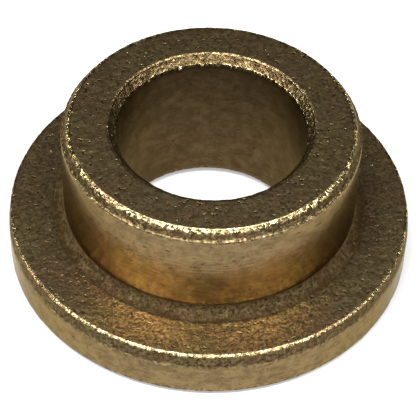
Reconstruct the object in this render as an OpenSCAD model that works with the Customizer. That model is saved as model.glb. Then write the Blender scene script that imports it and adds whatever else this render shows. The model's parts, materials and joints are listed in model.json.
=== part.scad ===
// Flanged sleeve bushing, pressed and sintered bronze, one piece.
// The part stands on its flange. The origin is the centre of the bore at
// the flange's underside, and +Z runs along the bore to the sleeve's end.
// All sizes are in millimetres.

/* [Bore] */
// Diameter of the running bore, loose on a 5/8 inch shaft
bore_d = 16.1; // [10:0.05:17]
// Width of the 45 degree chamfer at both mouths of the bore
bore_chamfer = 0.65; // [0.2:0.05:1]

/* [Sleeve] */
// Outside diameter of the sleeve, the surface that is pressed into a housing
sleeve_d = 25.4; // [23:0.1:27]
// Length over all, from the flange's underside to the sleeve's end
length = 14.3; // [10:0.1:40]
// How far the lead-in at the sleeve's end cuts into its end face
lead_in_width = 0.5; // [0.2:0.05:1]
// How far the lead-in at the sleeve's end runs down its side
lead_in_height = 0.75; // [0.2:0.05:1.5]

/* [Flange] */
// Diameter of the flange
flange_d = 35; // [32:0.1:45]
// Thickness of the flange
flange_t = 4.8; // [3.5:0.1:6]
// How far the chamfer at the rim's upper edge cuts into the flange's upper face
rim_chamfer_width = 0.15; // [0.1:0.05:1]
// How far the chamfer at the rim's upper edge runs down its side
rim_chamfer_height = 1.2; // [0.2:0.05:1.5]
// Width of the 45 degree chamfer at the rim's lower edge
rim_lower_chamfer = 0.45; // [0.2:0.05:1]
// Radius of the fillet in the corner between the sleeve and the flange
root_fillet_r = 0.8; // [0.2:0.05:1]

/* [Hidden] */
$fn = 128;

bore_r = bore_d / 2;
sleeve_r = sleeve_d / 2;
flange_r = flange_d / 2;

// How far the bore's cutter runs past both ends
overshoot = 1;

// Half of the sleeve's section, solid to the axis, with the lead-in at its end
module sleeve_section() {
    polygon([
        [0, 0],
        [sleeve_r, 0],
        [sleeve_r, length - lead_in_height],
        [sleeve_r - lead_in_width, length],
        [0, length],
    ]);
}

// Half of the flange's section, solid to the axis, chamfered above and below
module flange_section() {
    polygon([
        [0, 0],
        [flange_r - rim_lower_chamfer, 0],
        [flange_r, rim_lower_chamfer],
        [flange_r, flange_t - rim_chamfer_height],
        [flange_r - rim_chamfer_width, flange_t],
        [0, flange_t],
    ]);
}

// The fillet's section: a square in the corner, less a quarter of a circle.
// It starts inside the sleeve and the flange, so the three sections join.
module root_fillet_section() {
    difference() {
        translate([sleeve_r - root_fillet_r, flange_t - root_fillet_r])
            square(2 * root_fillet_r);
        translate([sleeve_r + root_fillet_r, flange_t + root_fillet_r])
            circle(r = root_fillet_r);
    }
}

// The bore with its two mouths, drawn as the solid that is cut away
module bore_cutter() {
    mouth_r = bore_r + bore_chamfer;
    translate([0, 0, -overshoot])
        cylinder(h = length + 2 * overshoot, r = bore_r);
    translate([0, 0, -overshoot])
        cylinder(h = bore_chamfer + overshoot, r1 = mouth_r + overshoot, r2 = bore_r);
    translate([0, 0, length - bore_chamfer])
        cylinder(h = bore_chamfer + overshoot, r1 = bore_r, r2 = mouth_r + overshoot);
}

// The whole bushing: sleeve, flange and fillet are one pressed body
module flanged_bushing() {
    color([0.46, 0.37, 0.24])
        difference() {
            rotate_extrude()
                union() {
                    sleeve_section();
                    flange_section();
                    root_fillet_section();
                }
            bore_cutter();
        }
}

flanged_bushing();
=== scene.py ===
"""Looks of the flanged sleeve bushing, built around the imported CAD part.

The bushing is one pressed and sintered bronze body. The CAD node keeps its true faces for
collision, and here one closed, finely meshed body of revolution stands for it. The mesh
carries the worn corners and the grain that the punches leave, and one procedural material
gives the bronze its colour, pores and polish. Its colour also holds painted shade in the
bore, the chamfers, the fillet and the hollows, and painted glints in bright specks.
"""

import json
import math
from typing import NamedTuple

import bpy
import numpy as np
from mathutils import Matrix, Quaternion, Vector, noise


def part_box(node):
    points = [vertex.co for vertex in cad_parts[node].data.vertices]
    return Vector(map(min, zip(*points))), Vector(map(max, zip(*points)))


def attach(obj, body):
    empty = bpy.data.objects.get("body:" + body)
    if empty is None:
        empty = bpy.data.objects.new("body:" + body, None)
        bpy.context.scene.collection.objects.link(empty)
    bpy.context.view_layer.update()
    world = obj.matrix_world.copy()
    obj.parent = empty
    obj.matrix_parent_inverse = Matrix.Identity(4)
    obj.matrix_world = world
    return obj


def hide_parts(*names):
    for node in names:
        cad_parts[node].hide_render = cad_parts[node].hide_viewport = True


MM = 0.001                 # metres in a millimetre
NODE = "flanged_bushing"   # the CAD node that the mesh stands for

# ---- Sizes that the record doesn't state, in millimetres ----
LEAD_IN_WIDTH = 0.5        # how far the lead-in cuts into the sleeve's end face
LAND_WIDTH = 0.13          # flat step at the lead-in's foot, left by the edge of the punch
RIM_CHAMFER_WIDTH = 0.15   # how far the rim's upper chamfer cuts into the flange's face
RIM_CHAMFER_HEIGHT = 1.2   # how far it runs down the rim
RIM_LOWER_CHAMFER = 0.45   # width of the 45 degree chamfer at the rim's lower edge
SHARP = 0.07               # rounding of a corner that nothing has rubbed
WORN = 0.14                # rounding of a corner that handling has dulled
RUBBED = 0.3               # rounding of the corner that stands out most

# ---- Steps of the mesh ----
SEGMENTS = 540             # round the axis
ARC_STEPS = 4              # across each rounded corner
FILLET_STEPS = 9           # across the fillet at the sleeve's root

# ---- Spacing of the mesh's rings, in millimetres ----
FINE = 0.14                # on chamfers in view
MEDIUM = 0.21              # on pressed faces in view
COARSE = 0.45              # on the bore wall and the rim
SLEEVE_WALL = 0.7 * COARSE
UNDERSIDE = 1.6 * COARSE   # out of sight, so coarser
LOWER_CHAMFERS = 1.5 * FINE

# ---- Relief: lengths in millimetres, scales in waves per millimetre ----
SKIN = 0.011               # depth that every point is set back, so that nothing stands proud
SWELL_SHARE = 0.5          # share of the skin's depth that rises and falls in a slow swell
SWELL_SCALE = 0.5
LUMP = 0.018               # height of the lumps on pressed surfaces
LUMP_SCALE = 1.9
LUMPS_IN_OIL_AND_SHADE = 1.6           # how much higher the lumps are where the dark oil and painted shade are thick
PIT_SCALE = 1.6
PIT_LEVEL = 0.28           # level of the noise above which it opens a pit
PIT_DEPTH = 3.0            # depth of a pit, against the lumps
PIT_SHIFT = Vector((7, 3, 1))    # keeps the pits from following the lumps
CHIP = 0.022               # depth of the chips along worn corners
CHIP_SCALE = 1.7
CHIP_BASE = 0.8            # share of the chips' depth that a worn corner loses everywhere
CHIP_SHIFT = Vector((2, 9, 4))   # keeps the chips from following the lumps
CHIPPED = 0.5              # polish above which an edge is chipped
FINER = 2.0                # how much finer each octave of noise is than the one before

# ---- Finish ----
FINISH = ("pressed", "worn", "oil_and_shade", "matt")  # the values that the mesh stores at its points
SIZED = 0.0                # a wall that slid along the die
PRESSED = 1.0              # a surface that a punch pressed
FILLET_OIL_AND_SHADE = 0.15        # how much dark oil and painted shade lie on the fillet where it leaves the sleeve
FILLET_MATT = 1.0          # how dull the fillet is, from 0 to 1
WALL_ROUGHNESS = 0.21      # roughness of sized walls
POLISH = 0.12              # roughness that full wear takes away
DULLNESS = 0.46            # roughness that a fully matt surface gains
FINE_RELIEF = 0.07         # height of the material's own bumps, in millimetres
WALL_RELIEF = 0.14         # share of that height on sized walls

# ---- Light and floor, in metres and watts ----
ROOM_LIGHT = 0.13          # brightness of the room around the part
LIGHT_DISTANCE = 0.5
LIGHT_SIZE = 0.20          # side of a softbox
KEY_POWER = 7.2
FILL_POWER = 4.2
FLOOR_REACH = 3.0          # from the part to the floor's sides
FLOOR_SHADE = 0.25         # grey of its surface
FLOOR_GLOW = 0.43          # light that the floor gives off itself

# ---- Camera ----
CAMERA_ELEVATION = 47.2    # degrees above the floor
CAMERA_DISTANCE = 168.8    # mm from the point it looks at
CAMERA_AIM = (-0.09, 0.0, 3.93)  # mm
CAMERA_ROLL = 1.98         # degrees
CAMERA_LENS = 166.5        # mm
SENSOR_WIDTH = 36.0        # mm
NEAREST, FARTHEST = 0.01, 20.0   # m, what the camera can see


def mount(record, name):
    """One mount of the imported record."""
    return next(m for m in record["mounts"] if m["name"] == name)


def wall_span(entry):
    """Lowest and highest z of a round mount's wall, in millimetres."""
    middle = entry["pos_m"][2] / MM
    half = entry["dims"]["length_mm"] / 2
    return middle - half, middle + half


class Corner(NamedTuple):
    """One corner of the section, in millimetres."""

    radius: float
    height: float
    rounding: float
    polish: float          # from 0 to 1, where handling has rubbed it bright


def section_corners(record):
    """The section's corners: up the bore, across the end face, down the outside and back."""
    low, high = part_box(NODE)
    length = high.z / MM
    flange_r = high.x / MM
    bore = mount(record, "bore")
    sleeve = mount(record, "sleeve_od")
    bore_r = bore["dims"]["r_mm"]
    sleeve_r = sleeve["dims"]["r_mm"]
    bore_low, bore_high = wall_span(bore)
    root_top, lead_in_foot = wall_span(sleeve)
    flange_t = mount(record, "shoulder")["pos_m"][2] / MM
    mouth_r = bore_r + length - bore_high
    return [
        Corner(bore_r, bore_low, SHARP, polish=0.0),
        Corner(bore_r, bore_high, SHARP, polish=0.85),
        Corner(mouth_r, length, WORN, polish=0.3),
        Corner(sleeve_r - LEAD_IN_WIDTH, length, RUBBED, polish=1.0),
        Corner(sleeve_r - LAND_WIDTH, lead_in_foot, SHARP / 2, polish=0.4),
        Corner(sleeve_r, lead_in_foot, SHARP, polish=0.4),
        Corner(sleeve_r, flange_t, root_top - flange_t, polish=0.0),
        Corner(flange_r - RIM_CHAMFER_WIDTH, flange_t, WORN, polish=0.65),
        Corner(flange_r, flange_t - RIM_CHAMFER_HEIGHT, SHARP, polish=0.25),
        Corner(flange_r, RIM_LOWER_CHAMFER, SHARP, polish=0.25),
        Corner(flange_r - RIM_LOWER_CHAMFER, 0.0, WORN, polish=0.8),
        Corner(mouth_r, 0.0, WORN, polish=0.8),
    ]


class Side(NamedTuple):
    """The finish of one side of the section, from its corner to the next."""

    spacing: float         # between its rings, in millimetres
    pressed: float         # PRESSED or SIZED
    worn: float = 0.0      # how much of it handling has polished
    oil_and_shade: float = 0.0     # how much dark oil and painted shade lie on it
    matt: float = 0.0      # how dull it is


SIDES = [
    Side(COARSE, SIZED, oil_and_shade=0.81, matt=0.5),             # bore wall, darkened by painted shade and oil
    Side(FINE, PRESSED, worn=0.4, oil_and_shade=0.76, matt=0.15),  # upper mouth of the bore, darkened by painted shade and oil
    Side(MEDIUM, PRESSED),                                 # end face
    Side(FINE, PRESSED, worn=0.25, oil_and_shade=0.6, matt=0.05),  # lead-in, darkened by painted shade and oil
    Side(FINE, PRESSED, worn=0.15, oil_and_shade=0.35, matt=0.2),  # land, darkened by painted shade and oil
    Side(SLEEVE_WALL, SIZED),                              # sleeve's outer wall
    Side(MEDIUM, PRESSED),                                 # flange's upper face
    Side(FINE, PRESSED, oil_and_shade=0.55, matt=0.3),             # upper rim chamfer, darkened by painted shade and oil
    Side(COARSE, SIZED),                                   # rim
    Side(LOWER_CHAMFERS, PRESSED, worn=0.5),               # lower rim chamfer
    Side(UNDERSIDE, PRESSED, worn=0.2),                    # underside
    Side(LOWER_CHAMFERS, PRESSED, worn=0.5),               # lower mouth of the bore
]


def rounded_corner(before, corner, after, radius, steps):
    """Points of a circular arc that rounds one corner."""
    to_before = (before - corner).normalized()
    to_after = (after - corner).normalized()
    half = to_before.angle(to_after) / 2
    reach = radius / math.tan(half)
    start = corner + to_before * reach
    end = corner + to_after * reach
    weight = math.sin(half)
    points = []
    for step in range(steps + 1):
        t = step / steps
        a, b, c = (1 - t) ** 2, 2 * weight * t * (1 - t), t ** 2
        points.append((start * a + corner * b + end * c) / (a + b + c))
    return points


def corner_finish(number, polish):
    """The finish values on a rounded corner, from the sides that meet there."""
    sides = (SIDES[number - 1], SIDES[number])
    pressed = max(side.pressed for side in sides)
    oil_and_shade = (1 - polish) * sum(side.oil_and_shade for side in sides) / 2
    matt = (1 - polish) * sum(side.matt for side in sides) / 2
    return pressed, polish, oil_and_shade, matt


def fillet_finish(along):
    """The finish values in the fillet, from the sleeve (0) out to 1: dark oil and painted shade
    that thicken outwards.
    """
    return PRESSED, 0.0, 1 - (1 - FILLET_OIL_AND_SHADE) * (1 - along) ** 2, FILLET_MATT


def corner_rows(number, corners, places):
    """The rings across one rounded corner. The fillet is the one rounder than RUBBED."""
    _, _, rounding, polish = corners[number]
    is_fillet = rounding > RUBBED
    steps = FILLET_STEPS if is_fillet else ARC_STEPS
    arc = rounded_corner(places[number - 1], places[number],
                         places[(number + 1) % len(places)], rounding, steps)
    return [(p.x, p.y, *(fillet_finish(step / steps) if is_fillet
                         else corner_finish(number, polish)))
            for step, p in enumerate(arc)]


def sample_section(corners):
    """The section's outline, one row a ring: radius, height and the four finish values."""
    places = [Vector((corner.radius, corner.height)) for corner in corners]
    arcs = [corner_rows(i, corners, places) for i in range(len(corners))]
    rows = []
    for i, arc in enumerate(arcs):
        rows += arc
        start = Vector(arc[-1][:2])
        gap = Vector(arcs[(i + 1) % len(arcs)][0][:2]) - start
        count = max(1, round(gap.length / SIDES[i].spacing))
        for step in range(1, count):
            p = start + gap * (step / count)
            rows.append((p.x, p.y, *SIDES[i][1:]))
    return np.array(rows)


def section_normals(rows):
    """Outward unit normals of the outline, as (radial, axial)."""
    run = np.roll(rows[:, :2], -1, axis=0) - np.roll(rows[:, :2], 1, axis=0)
    normals = np.stack([-run[:, 1], run[:, 0]], axis=1)
    return normals / np.linalg.norm(normals, axis=1)[:, None]


def waves(place, fade, octaves):
    """Fractal noise around 0. The larger fade is, the weaker are its finer octaves."""
    return noise.fractal(place, fade, FINER, octaves)


def relief_depth(place, pressed, worn, oil_and_shade):
    """How far a point is set back from the ideal surface, in millimetres."""
    swell = waves(place * SWELL_SCALE, fade=1.0, octaves=2)
    depth = SKIN * (1 - SWELL_SHARE * swell)
    if pressed:
        lumps = waves(place * LUMP_SCALE, fade=0.8, octaves=3)
        pit = max(0.0, noise.noise(place * PIT_SCALE + PIT_SHIFT) - PIT_LEVEL)
        depth += LUMP * (1 + LUMPS_IN_OIL_AND_SHADE * oil_and_shade) * (1 + lumps + PIT_DEPTH * pit)
    if worn > CHIPPED:
        chips = waves(place * CHIP_SCALE + CHIP_SHIFT, fade=0.7, octaves=2)
        depth += CHIP * (CHIP_BASE + chips)
    return max(0.0, depth)


def surface_points(rows):
    """The points of every ring in turn, set back by the relief, in millimetres."""
    normals = section_normals(rows)
    angles = np.arange(SEGMENTS) * (2 * math.pi / SEGMENTS)
    cos, sin = np.cos(angles), np.sin(angles)
    points = np.zeros((len(rows), SEGMENTS, 3))
    for i, (radius, height, pressed, worn, oil_and_shade, _) in enumerate(rows):
        out, up = normals[i]
        for j in range(SEGMENTS):
            place = Vector((radius * cos[j], radius * sin[j], height))
            depth = relief_depth(place, pressed, worn, oil_and_shade)
            reach = radius - out * depth
            points[i, j] = (reach * cos[j], reach * sin[j], height - up * depth)
    return points.reshape(-1, 3)


def quad_faces(rings):
    """Corner numbers of the quads between neighbouring rings, all facing outwards."""
    ring, segment = np.meshgrid(np.arange(rings), np.arange(SEGMENTS), indexing="ij")
    this, beside = segment, (segment + 1) % SEGMENTS
    here, above = ring * SEGMENTS, (ring + 1) % rings * SEGMENTS
    quads = [here + this, here + beside, above + beside, above + this]
    return np.stack(quads, axis=-1).reshape(-1, 4).tolist()


def unroll(mesh, rows):
    """A UV map that unrolls the whole surface into one sheet: angle across, outline up."""
    steps = np.linalg.norm(np.roll(rows[:, :2], -1, axis=0) - rows[:, :2], axis=1)
    rise = np.concatenate([[0.0], np.cumsum(steps)]) / steps.sum()
    i, j = np.meshgrid(np.arange(len(rows)), np.arange(SEGMENTS), indexing="ij")
    corners = [(j, i), (j + 1, i), (j + 1, i + 1), (j, i + 1)]
    uv = np.stack([np.stack([a / SEGMENTS, rise[b]], axis=-1) for a, b in corners], axis=2)
    mesh.uv_layers.new(name="OFBake").data.foreach_set("uv", uv.reshape(-1))


def make_body(record):
    """The closed mesh of the bushing, with its finish stored at each point."""
    rows = sample_section(section_corners(record))
    mesh = bpy.data.meshes.new(NODE + "_body")
    mesh.from_pydata((surface_points(rows) * MM).tolist(), [], quad_faces(len(rows)))
    mesh.polygons.foreach_set("use_smooth", [True] * len(mesh.polygons))
    for column, name in enumerate(FINISH, start=2):
        values = np.repeat(rows[:, column], SEGMENTS)
        mesh.attributes.new(name, "FLOAT", "POINT").data.foreach_set("value", values)
    unroll(mesh, rows)
    mesh.update()
    body = bpy.data.objects.new("bronze_body", mesh)
    bpy.context.scene.collection.objects.link(body)
    return body


class Graph:
    """Short-hand for building a node tree."""

    def __init__(self, tree):
        self.tree = tree
        tree.nodes.clear()

    def add(self, kind, inputs=None, **settings):
        """A node with its settings, and its inputs as values or as sockets to link."""
        node = self.tree.nodes.new(kind)
        for name, value in settings.items():
            setattr(node, name, value)
        for name, value in (inputs or {}).items():
            if isinstance(value, bpy.types.NodeSocket):
                self.tree.links.new(value, node.inputs[name])
            else:
                node.inputs[name].default_value = value
        return node

    def math(self, operation, a, b):
        """One Math node's result."""
        return self.add("ShaderNodeMath", {0: a, 1: b}, operation=operation).outputs[0]

    def times(self, a, b):
        """The product of two values."""
        return self.math("MULTIPLY", a, b)

    def scaled(self, vector, factors):
        """A vector multiplied part by part."""
        node = self.add("ShaderNodeVectorMath", {0: vector, 1: factors}, operation="MULTIPLY")
        return node.outputs[0]

    def ramp(self, value, low, high, to_low=0.0, to_high=1.0):
        """value from low..high, taken smoothly to to_low..to_high."""
        node = self.add("ShaderNodeMapRange", {"Value": value, "From Min": low, "From Max": high,
                                               "To Min": to_low, "To Max": to_high},
                        interpolation_type="SMOOTHSTEP")
        return node.outputs["Result"]

    def mix(self, factor, a, b):
        """Two colours mixed."""
        node = self.add("ShaderNodeMix", {"Factor": factor, "A": a, "B": b}, data_type="RGBA")
        return node.outputs["Result"]

    def cover(self, colour, coat, where, most):
        """A colour with a coat over it, where a pattern says so, and at most by a share."""
        return self.mix(self.times(where, most), colour, coat)

    def noise(self, vector, scale, detail, roughness):
        """Noise from 0 to 1."""
        node = self.add("ShaderNodeTexNoise", {"Vector": vector, "Scale": scale,
                                               "Detail": detail, "Roughness": roughness})
        return node.outputs["Fac"]


def rgb(red, green, blue):
    """A linear colour with full alpha."""
    return (red, green, blue, 1.0)


# ---- Colours, linear ----
WALL_DARK = rgb(0.128, 0.088, 0.042)
WALL_LIGHT = rgb(0.212, 0.146, 0.069)
WALL_SPECKLE = rgb(0.25, 0.175, 0.088)
WALL_SCRATCH = rgb(0.10, 0.066, 0.033)
# painted shade in the pores of sized walls
PORE_SHADE = rgb(0.045, 0.030, 0.015)
OLIVE = rgb(0.29, 0.225, 0.106)
RED_BROWN = rgb(0.29, 0.19, 0.102)
POWDER_SHADE = rgb(0.10, 0.07, 0.033)
# painted shade in the pits of pressed surfaces
PIT_SHADE = rgb(0.03, 0.02, 0.01)
HOLLOW_SHADE = rgb(0.06, 0.042, 0.02)        # painted shade in the hollows between grains and between flakes
FLAKE = rgb(0.66, 0.52, 0.25)
# painted glints on the highest facets
GLINT_SPECK = rgb(0.60, 0.47, 0.24)
# dark oil, and painted shade in the bore, its mouth, the chamfers and the fillet
OIL_AND_SHADE = rgb(0.036, 0.021, 0.0080)
GLANCING_TINT = rgb(0.72, 0.66, 0.52)  # of reflections that graze the surface
ROOM = rgb(1.0, 0.98, 0.95)
WHITE = rgb(1, 1, 1)


class Bronze(Graph):
    """Oil-soaked sintered bronze: dark and grainy where pressed, satin where sized."""

    def __init__(self, tree):
        super().__init__(tree)
        metres = self.add("ShaderNodeTexCoord").outputs["Object"]
        self.place = self.scaled(metres, (1 / MM, 1 / MM, 1 / MM))
        self.pressed, self.worn, self.oil_and_shade, self.matt = map(self.attribute, FINISH)
        self.mottle = self.pattern(scale=0.9, detail=4.0, roughness=0.68, span=(0.38, 0.62))
        self.grain = self.pattern(scale=3.4, detail=4.0, roughness=0.68)
        self.facets = self.pattern(scale=3.1, detail=2.5, roughness=0.55)
        self.scratches = self.pattern(scale=1.0, detail=3.0, roughness=0.6,
                                      squeeze=(0.5, 0.5, 4.0))
        self.pores = self.pattern(scale=1.6, detail=2.0, roughness=0.6, span=(0.36, 0.29),
                                  squeeze=(1.0, 1.0, 2.6))
        self.pits = self.pattern(scale=2.9, detail=1.0, roughness=0.5, span=(0.35, 0.28))

    def attribute(self, name):
        """A finish value that the mesh stores at its points."""
        return self.add("ShaderNodeAttribute", attribute_name=name).outputs["Fac"]

    def pattern(self, scale, detail, roughness, span=None, squeeze=None):
        """Noise of scale waves per millimetre, or more along an axis that is squeezed.

        Without a span it is as it comes, and with one, that span is spread from 0 to 1."""
        place = self.scaled(self.place, squeeze) if squeeze else self.place
        value = self.noise(place, scale, detail, roughness)
        return self.ramp(value, *span) if span else value

    def wall_colour(self):
        """Sized walls: satin tan, a little uneven, with short pores along the round, painted
        dark as shade.
        """
        speckle = self.pattern(scale=2.4, detail=4.0, roughness=0.7, span=(0.36, 0.64),
                               squeeze=(1.0, 1.0, 1.6))
        scratched = self.ramp(self.scratches, 0.5, 0.7)
        colour = self.mix(self.mottle, WALL_DARK, WALL_LIGHT)
        colour = self.cover(colour, WALL_SPECKLE, speckle, most=0.45)
        colour = self.cover(colour, WALL_SCRATCH, scratched, most=0.5)
        # Painted shade in the pores.
        return self.cover(colour, PORE_SHADE, self.pores, most=0.75)

    def powder_colour(self):
        """Pressed surfaces: packed powder, olive to red-brown, with painted shade in the
        hollows.
        """
        tint = self.pattern(scale=0.33, detail=3.0, roughness=0.6, span=(0.38, 0.62))
        metal = self.mix(tint, OLIVE, RED_BROWN)
        colour = self.mix(self.ramp(self.grain, 0.38, 0.60), HOLLOW_SHADE, metal)
        colour = self.cover(colour, POWDER_SHADE, self.mottle, most=0.5)
        # Painted shade in the pits.
        return self.cover(colour, PIT_SHADE, self.pits, most=0.85)

    def edge_colour(self):
        """Edges rubbed bright in flakes, with painted shade in the hollows between them."""
        return self.mix(self.ramp(self.facets, 0.49, 0.56), HOLLOW_SHADE, FLAKE)

    def colour(self):
        """The bare metal, then rubbed edges, bright specks painted as glints, and a patchy film
        of dark oil and painted shade.
        """
        patches = self.ramp(self.pattern(scale=0.6, detail=2.0, roughness=0.5),
                            0.36, 0.56, to_low=0.35, to_high=1.0)
        oil_shade_film = self.ramp(self.pattern(scale=0.75, detail=4.0, roughness=0.65),
                         0.36, 0.64, to_low=1.0, to_high=0.8)
        # Painted glints: bright specks on the highest facets of pressed surfaces.
        glint_specks = self.times(self.pressed, self.ramp(self.facets, 0.60, 0.68))
        colour = self.mix(self.pressed, self.wall_colour(), self.powder_colour())
        colour = self.mix(self.times(self.worn, patches), colour, self.edge_colour())
        colour = self.cover(colour, GLINT_SPECK, glint_specks, most=0.08)
        # Dark oil and painted shade, in patches, where the mesh asks for them.
        colour = self.mix(self.times(self.oil_and_shade, oil_shade_film), colour, OIL_AND_SHADE)
        return self.cover(colour, GLINT_SPECK, glint_specks, most=0.06)

    def roughness(self):
        """How dull it is: even on sized walls, and changing from grain to grain in powder."""
        powder = self.ramp(self.grain, 0.35, 0.65, to_low=0.40, to_high=0.30)
        sized = self.math("SUBTRACT", 1.0, self.pressed)
        rough = self.math("ADD", self.times(self.pressed, powder),
                          self.times(sized, WALL_ROUGHNESS))
        rough = self.math("SUBTRACT", rough, self.times(self.worn, POLISH))
        return self.math("ADD", rough, self.times(self.matt, DULLNESS))

    def normal(self):
        """Fine bumps: scratches and pores in the walls, grains and pits in the powder."""
        wall = self.times(self.math("SUBTRACT", self.scratches, self.pores), WALL_RELIEF)
        powder = self.math("ADD", self.grain, self.times(self.facets, 0.5))
        powder = self.math("SUBTRACT", powder, self.times(self.pits, 0.4))
        torn = self.ramp(self.math("ADD", self.worn, self.oil_and_shade), 0.0, 1.0,
                         to_low=0.5, to_high=1.9)
        powder = self.times(powder, torn)
        height = self.add("ShaderNodeMix", {"Factor": self.pressed, "A": wall, "B": powder})
        bump = self.add("ShaderNodeBump", {"Strength": 1.0, "Distance": FINE_RELIEF * MM,
                                           "Height": height.outputs["Result"]})
        return bump.outputs["Normal"]


def new_material(name):
    """An empty material with a node tree."""
    material = bpy.data.materials.new(name)
    material.use_nodes = True
    return material


def sintered_bronze():
    """The material of the whole bushing."""
    material = new_material("sintered_bronze")
    g = Bronze(material.node_tree)
    shader = g.add("ShaderNodeBsdfPrincipled",
                   {"Base Color": g.colour(), "Metallic": 1.0, "Roughness": g.roughness(),
                    "Specular Tint": GLANCING_TINT, "Normal": g.normal()})
    g.add("ShaderNodeOutputMaterial", {"Surface": shader.outputs["BSDF"]})
    return material


def pale_floor():
    """The floor's material, lit from within a little so that it stays near white."""
    material = new_material("pale_floor")
    g = Graph(material.node_tree)
    shader = g.add("ShaderNodeBsdfPrincipled",
                   {"Base Color": rgb(FLOOR_SHADE, FLOOR_SHADE, FLOOR_SHADE), "Roughness": 0.9,
                    "Emission Color": WHITE, "Emission Strength": FLOOR_GLOW})
    g.add("ShaderNodeOutputMaterial", {"Surface": shader.outputs["BSDF"]})
    return material


def make_floor():
    """A plain pale floor."""
    mesh = bpy.data.meshes.new("floor")
    signs = [(-1, -1), (1, -1), (1, 1), (-1, 1)]
    corners = [(x * FLOOR_REACH, y * FLOOR_REACH, 0) for x, y in signs]
    mesh.from_pydata(corners, [], [(0, 1, 2, 3)])
    mesh.materials.append(pale_floor())
    floor = bpy.data.objects.new("floor", mesh)
    bpy.context.scene.collection.objects.link(floor)
    return floor


def direction(azimuth, elevation):
    """Unit vector to a place round the part: azimuth 0 is the camera's side, 90 its right."""
    a, e = math.radians(azimuth), math.radians(elevation)
    return Vector((math.sin(a) * math.cos(e), -math.cos(a) * math.cos(e), math.sin(e)))


def softbox(name, azimuth, elevation, power):
    """A square area light that points at the part."""
    light = bpy.data.lights.new(name, "AREA")
    light.size = LIGHT_SIZE
    light.energy = power
    lamp = bpy.data.objects.new(name, light)
    away = direction(azimuth, elevation)
    lamp.location = away * LIGHT_DISTANCE
    lamp.rotation_euler = away.to_track_quat("Z", "Y").to_euler()
    bpy.context.scene.collection.objects.link(lamp)


def make_world():
    """A dim, even room."""
    world = bpy.data.worlds.new("studio")
    world.use_nodes = True
    g = Graph(world.node_tree)
    background = g.add("ShaderNodeBackground", {"Color": ROOM, "Strength": ROOM_LIGHT})
    g.add("ShaderNodeOutputWorld", {"Surface": background.outputs["Background"]})
    bpy.context.scene.world = world


def make_camera():
    """The camera, above the front of the part."""
    camera = bpy.data.cameras.new("camera")
    camera.lens = CAMERA_LENS
    camera.sensor_width = SENSOR_WIDTH
    camera.clip_start = NEAREST
    camera.clip_end = FARTHEST
    holder = bpy.data.objects.new("camera", camera)
    away = direction(0, CAMERA_ELEVATION)
    holder.location = (Vector(CAMERA_AIM) + away * CAMERA_DISTANCE) * MM
    roll = Quaternion((0, 0, 1), math.radians(CAMERA_ROLL))
    holder.rotation_euler = (away.to_track_quat("Z", "Y") @ roll).to_euler()
    bpy.context.scene.collection.objects.link(holder)
    bpy.context.scene.camera = holder


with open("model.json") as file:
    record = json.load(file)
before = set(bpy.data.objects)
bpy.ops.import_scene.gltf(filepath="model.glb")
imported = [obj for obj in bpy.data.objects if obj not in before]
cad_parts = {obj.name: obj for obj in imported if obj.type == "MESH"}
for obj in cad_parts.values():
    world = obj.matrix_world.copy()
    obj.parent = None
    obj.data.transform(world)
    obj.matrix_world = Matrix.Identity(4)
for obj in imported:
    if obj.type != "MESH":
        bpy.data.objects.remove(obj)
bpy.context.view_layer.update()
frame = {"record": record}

bpy.context.scene.view_settings.view_transform = "Standard"
make_camera()
make_world()
softbox("key", azimuth=-48, elevation=68, power=KEY_POWER)
softbox("fill", azimuth=50, elevation=66, power=FILL_POWER)
make_floor()

body = make_body(frame["record"])
body.data.materials.append(sintered_bronze())
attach(body, "root")
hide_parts(NODE)
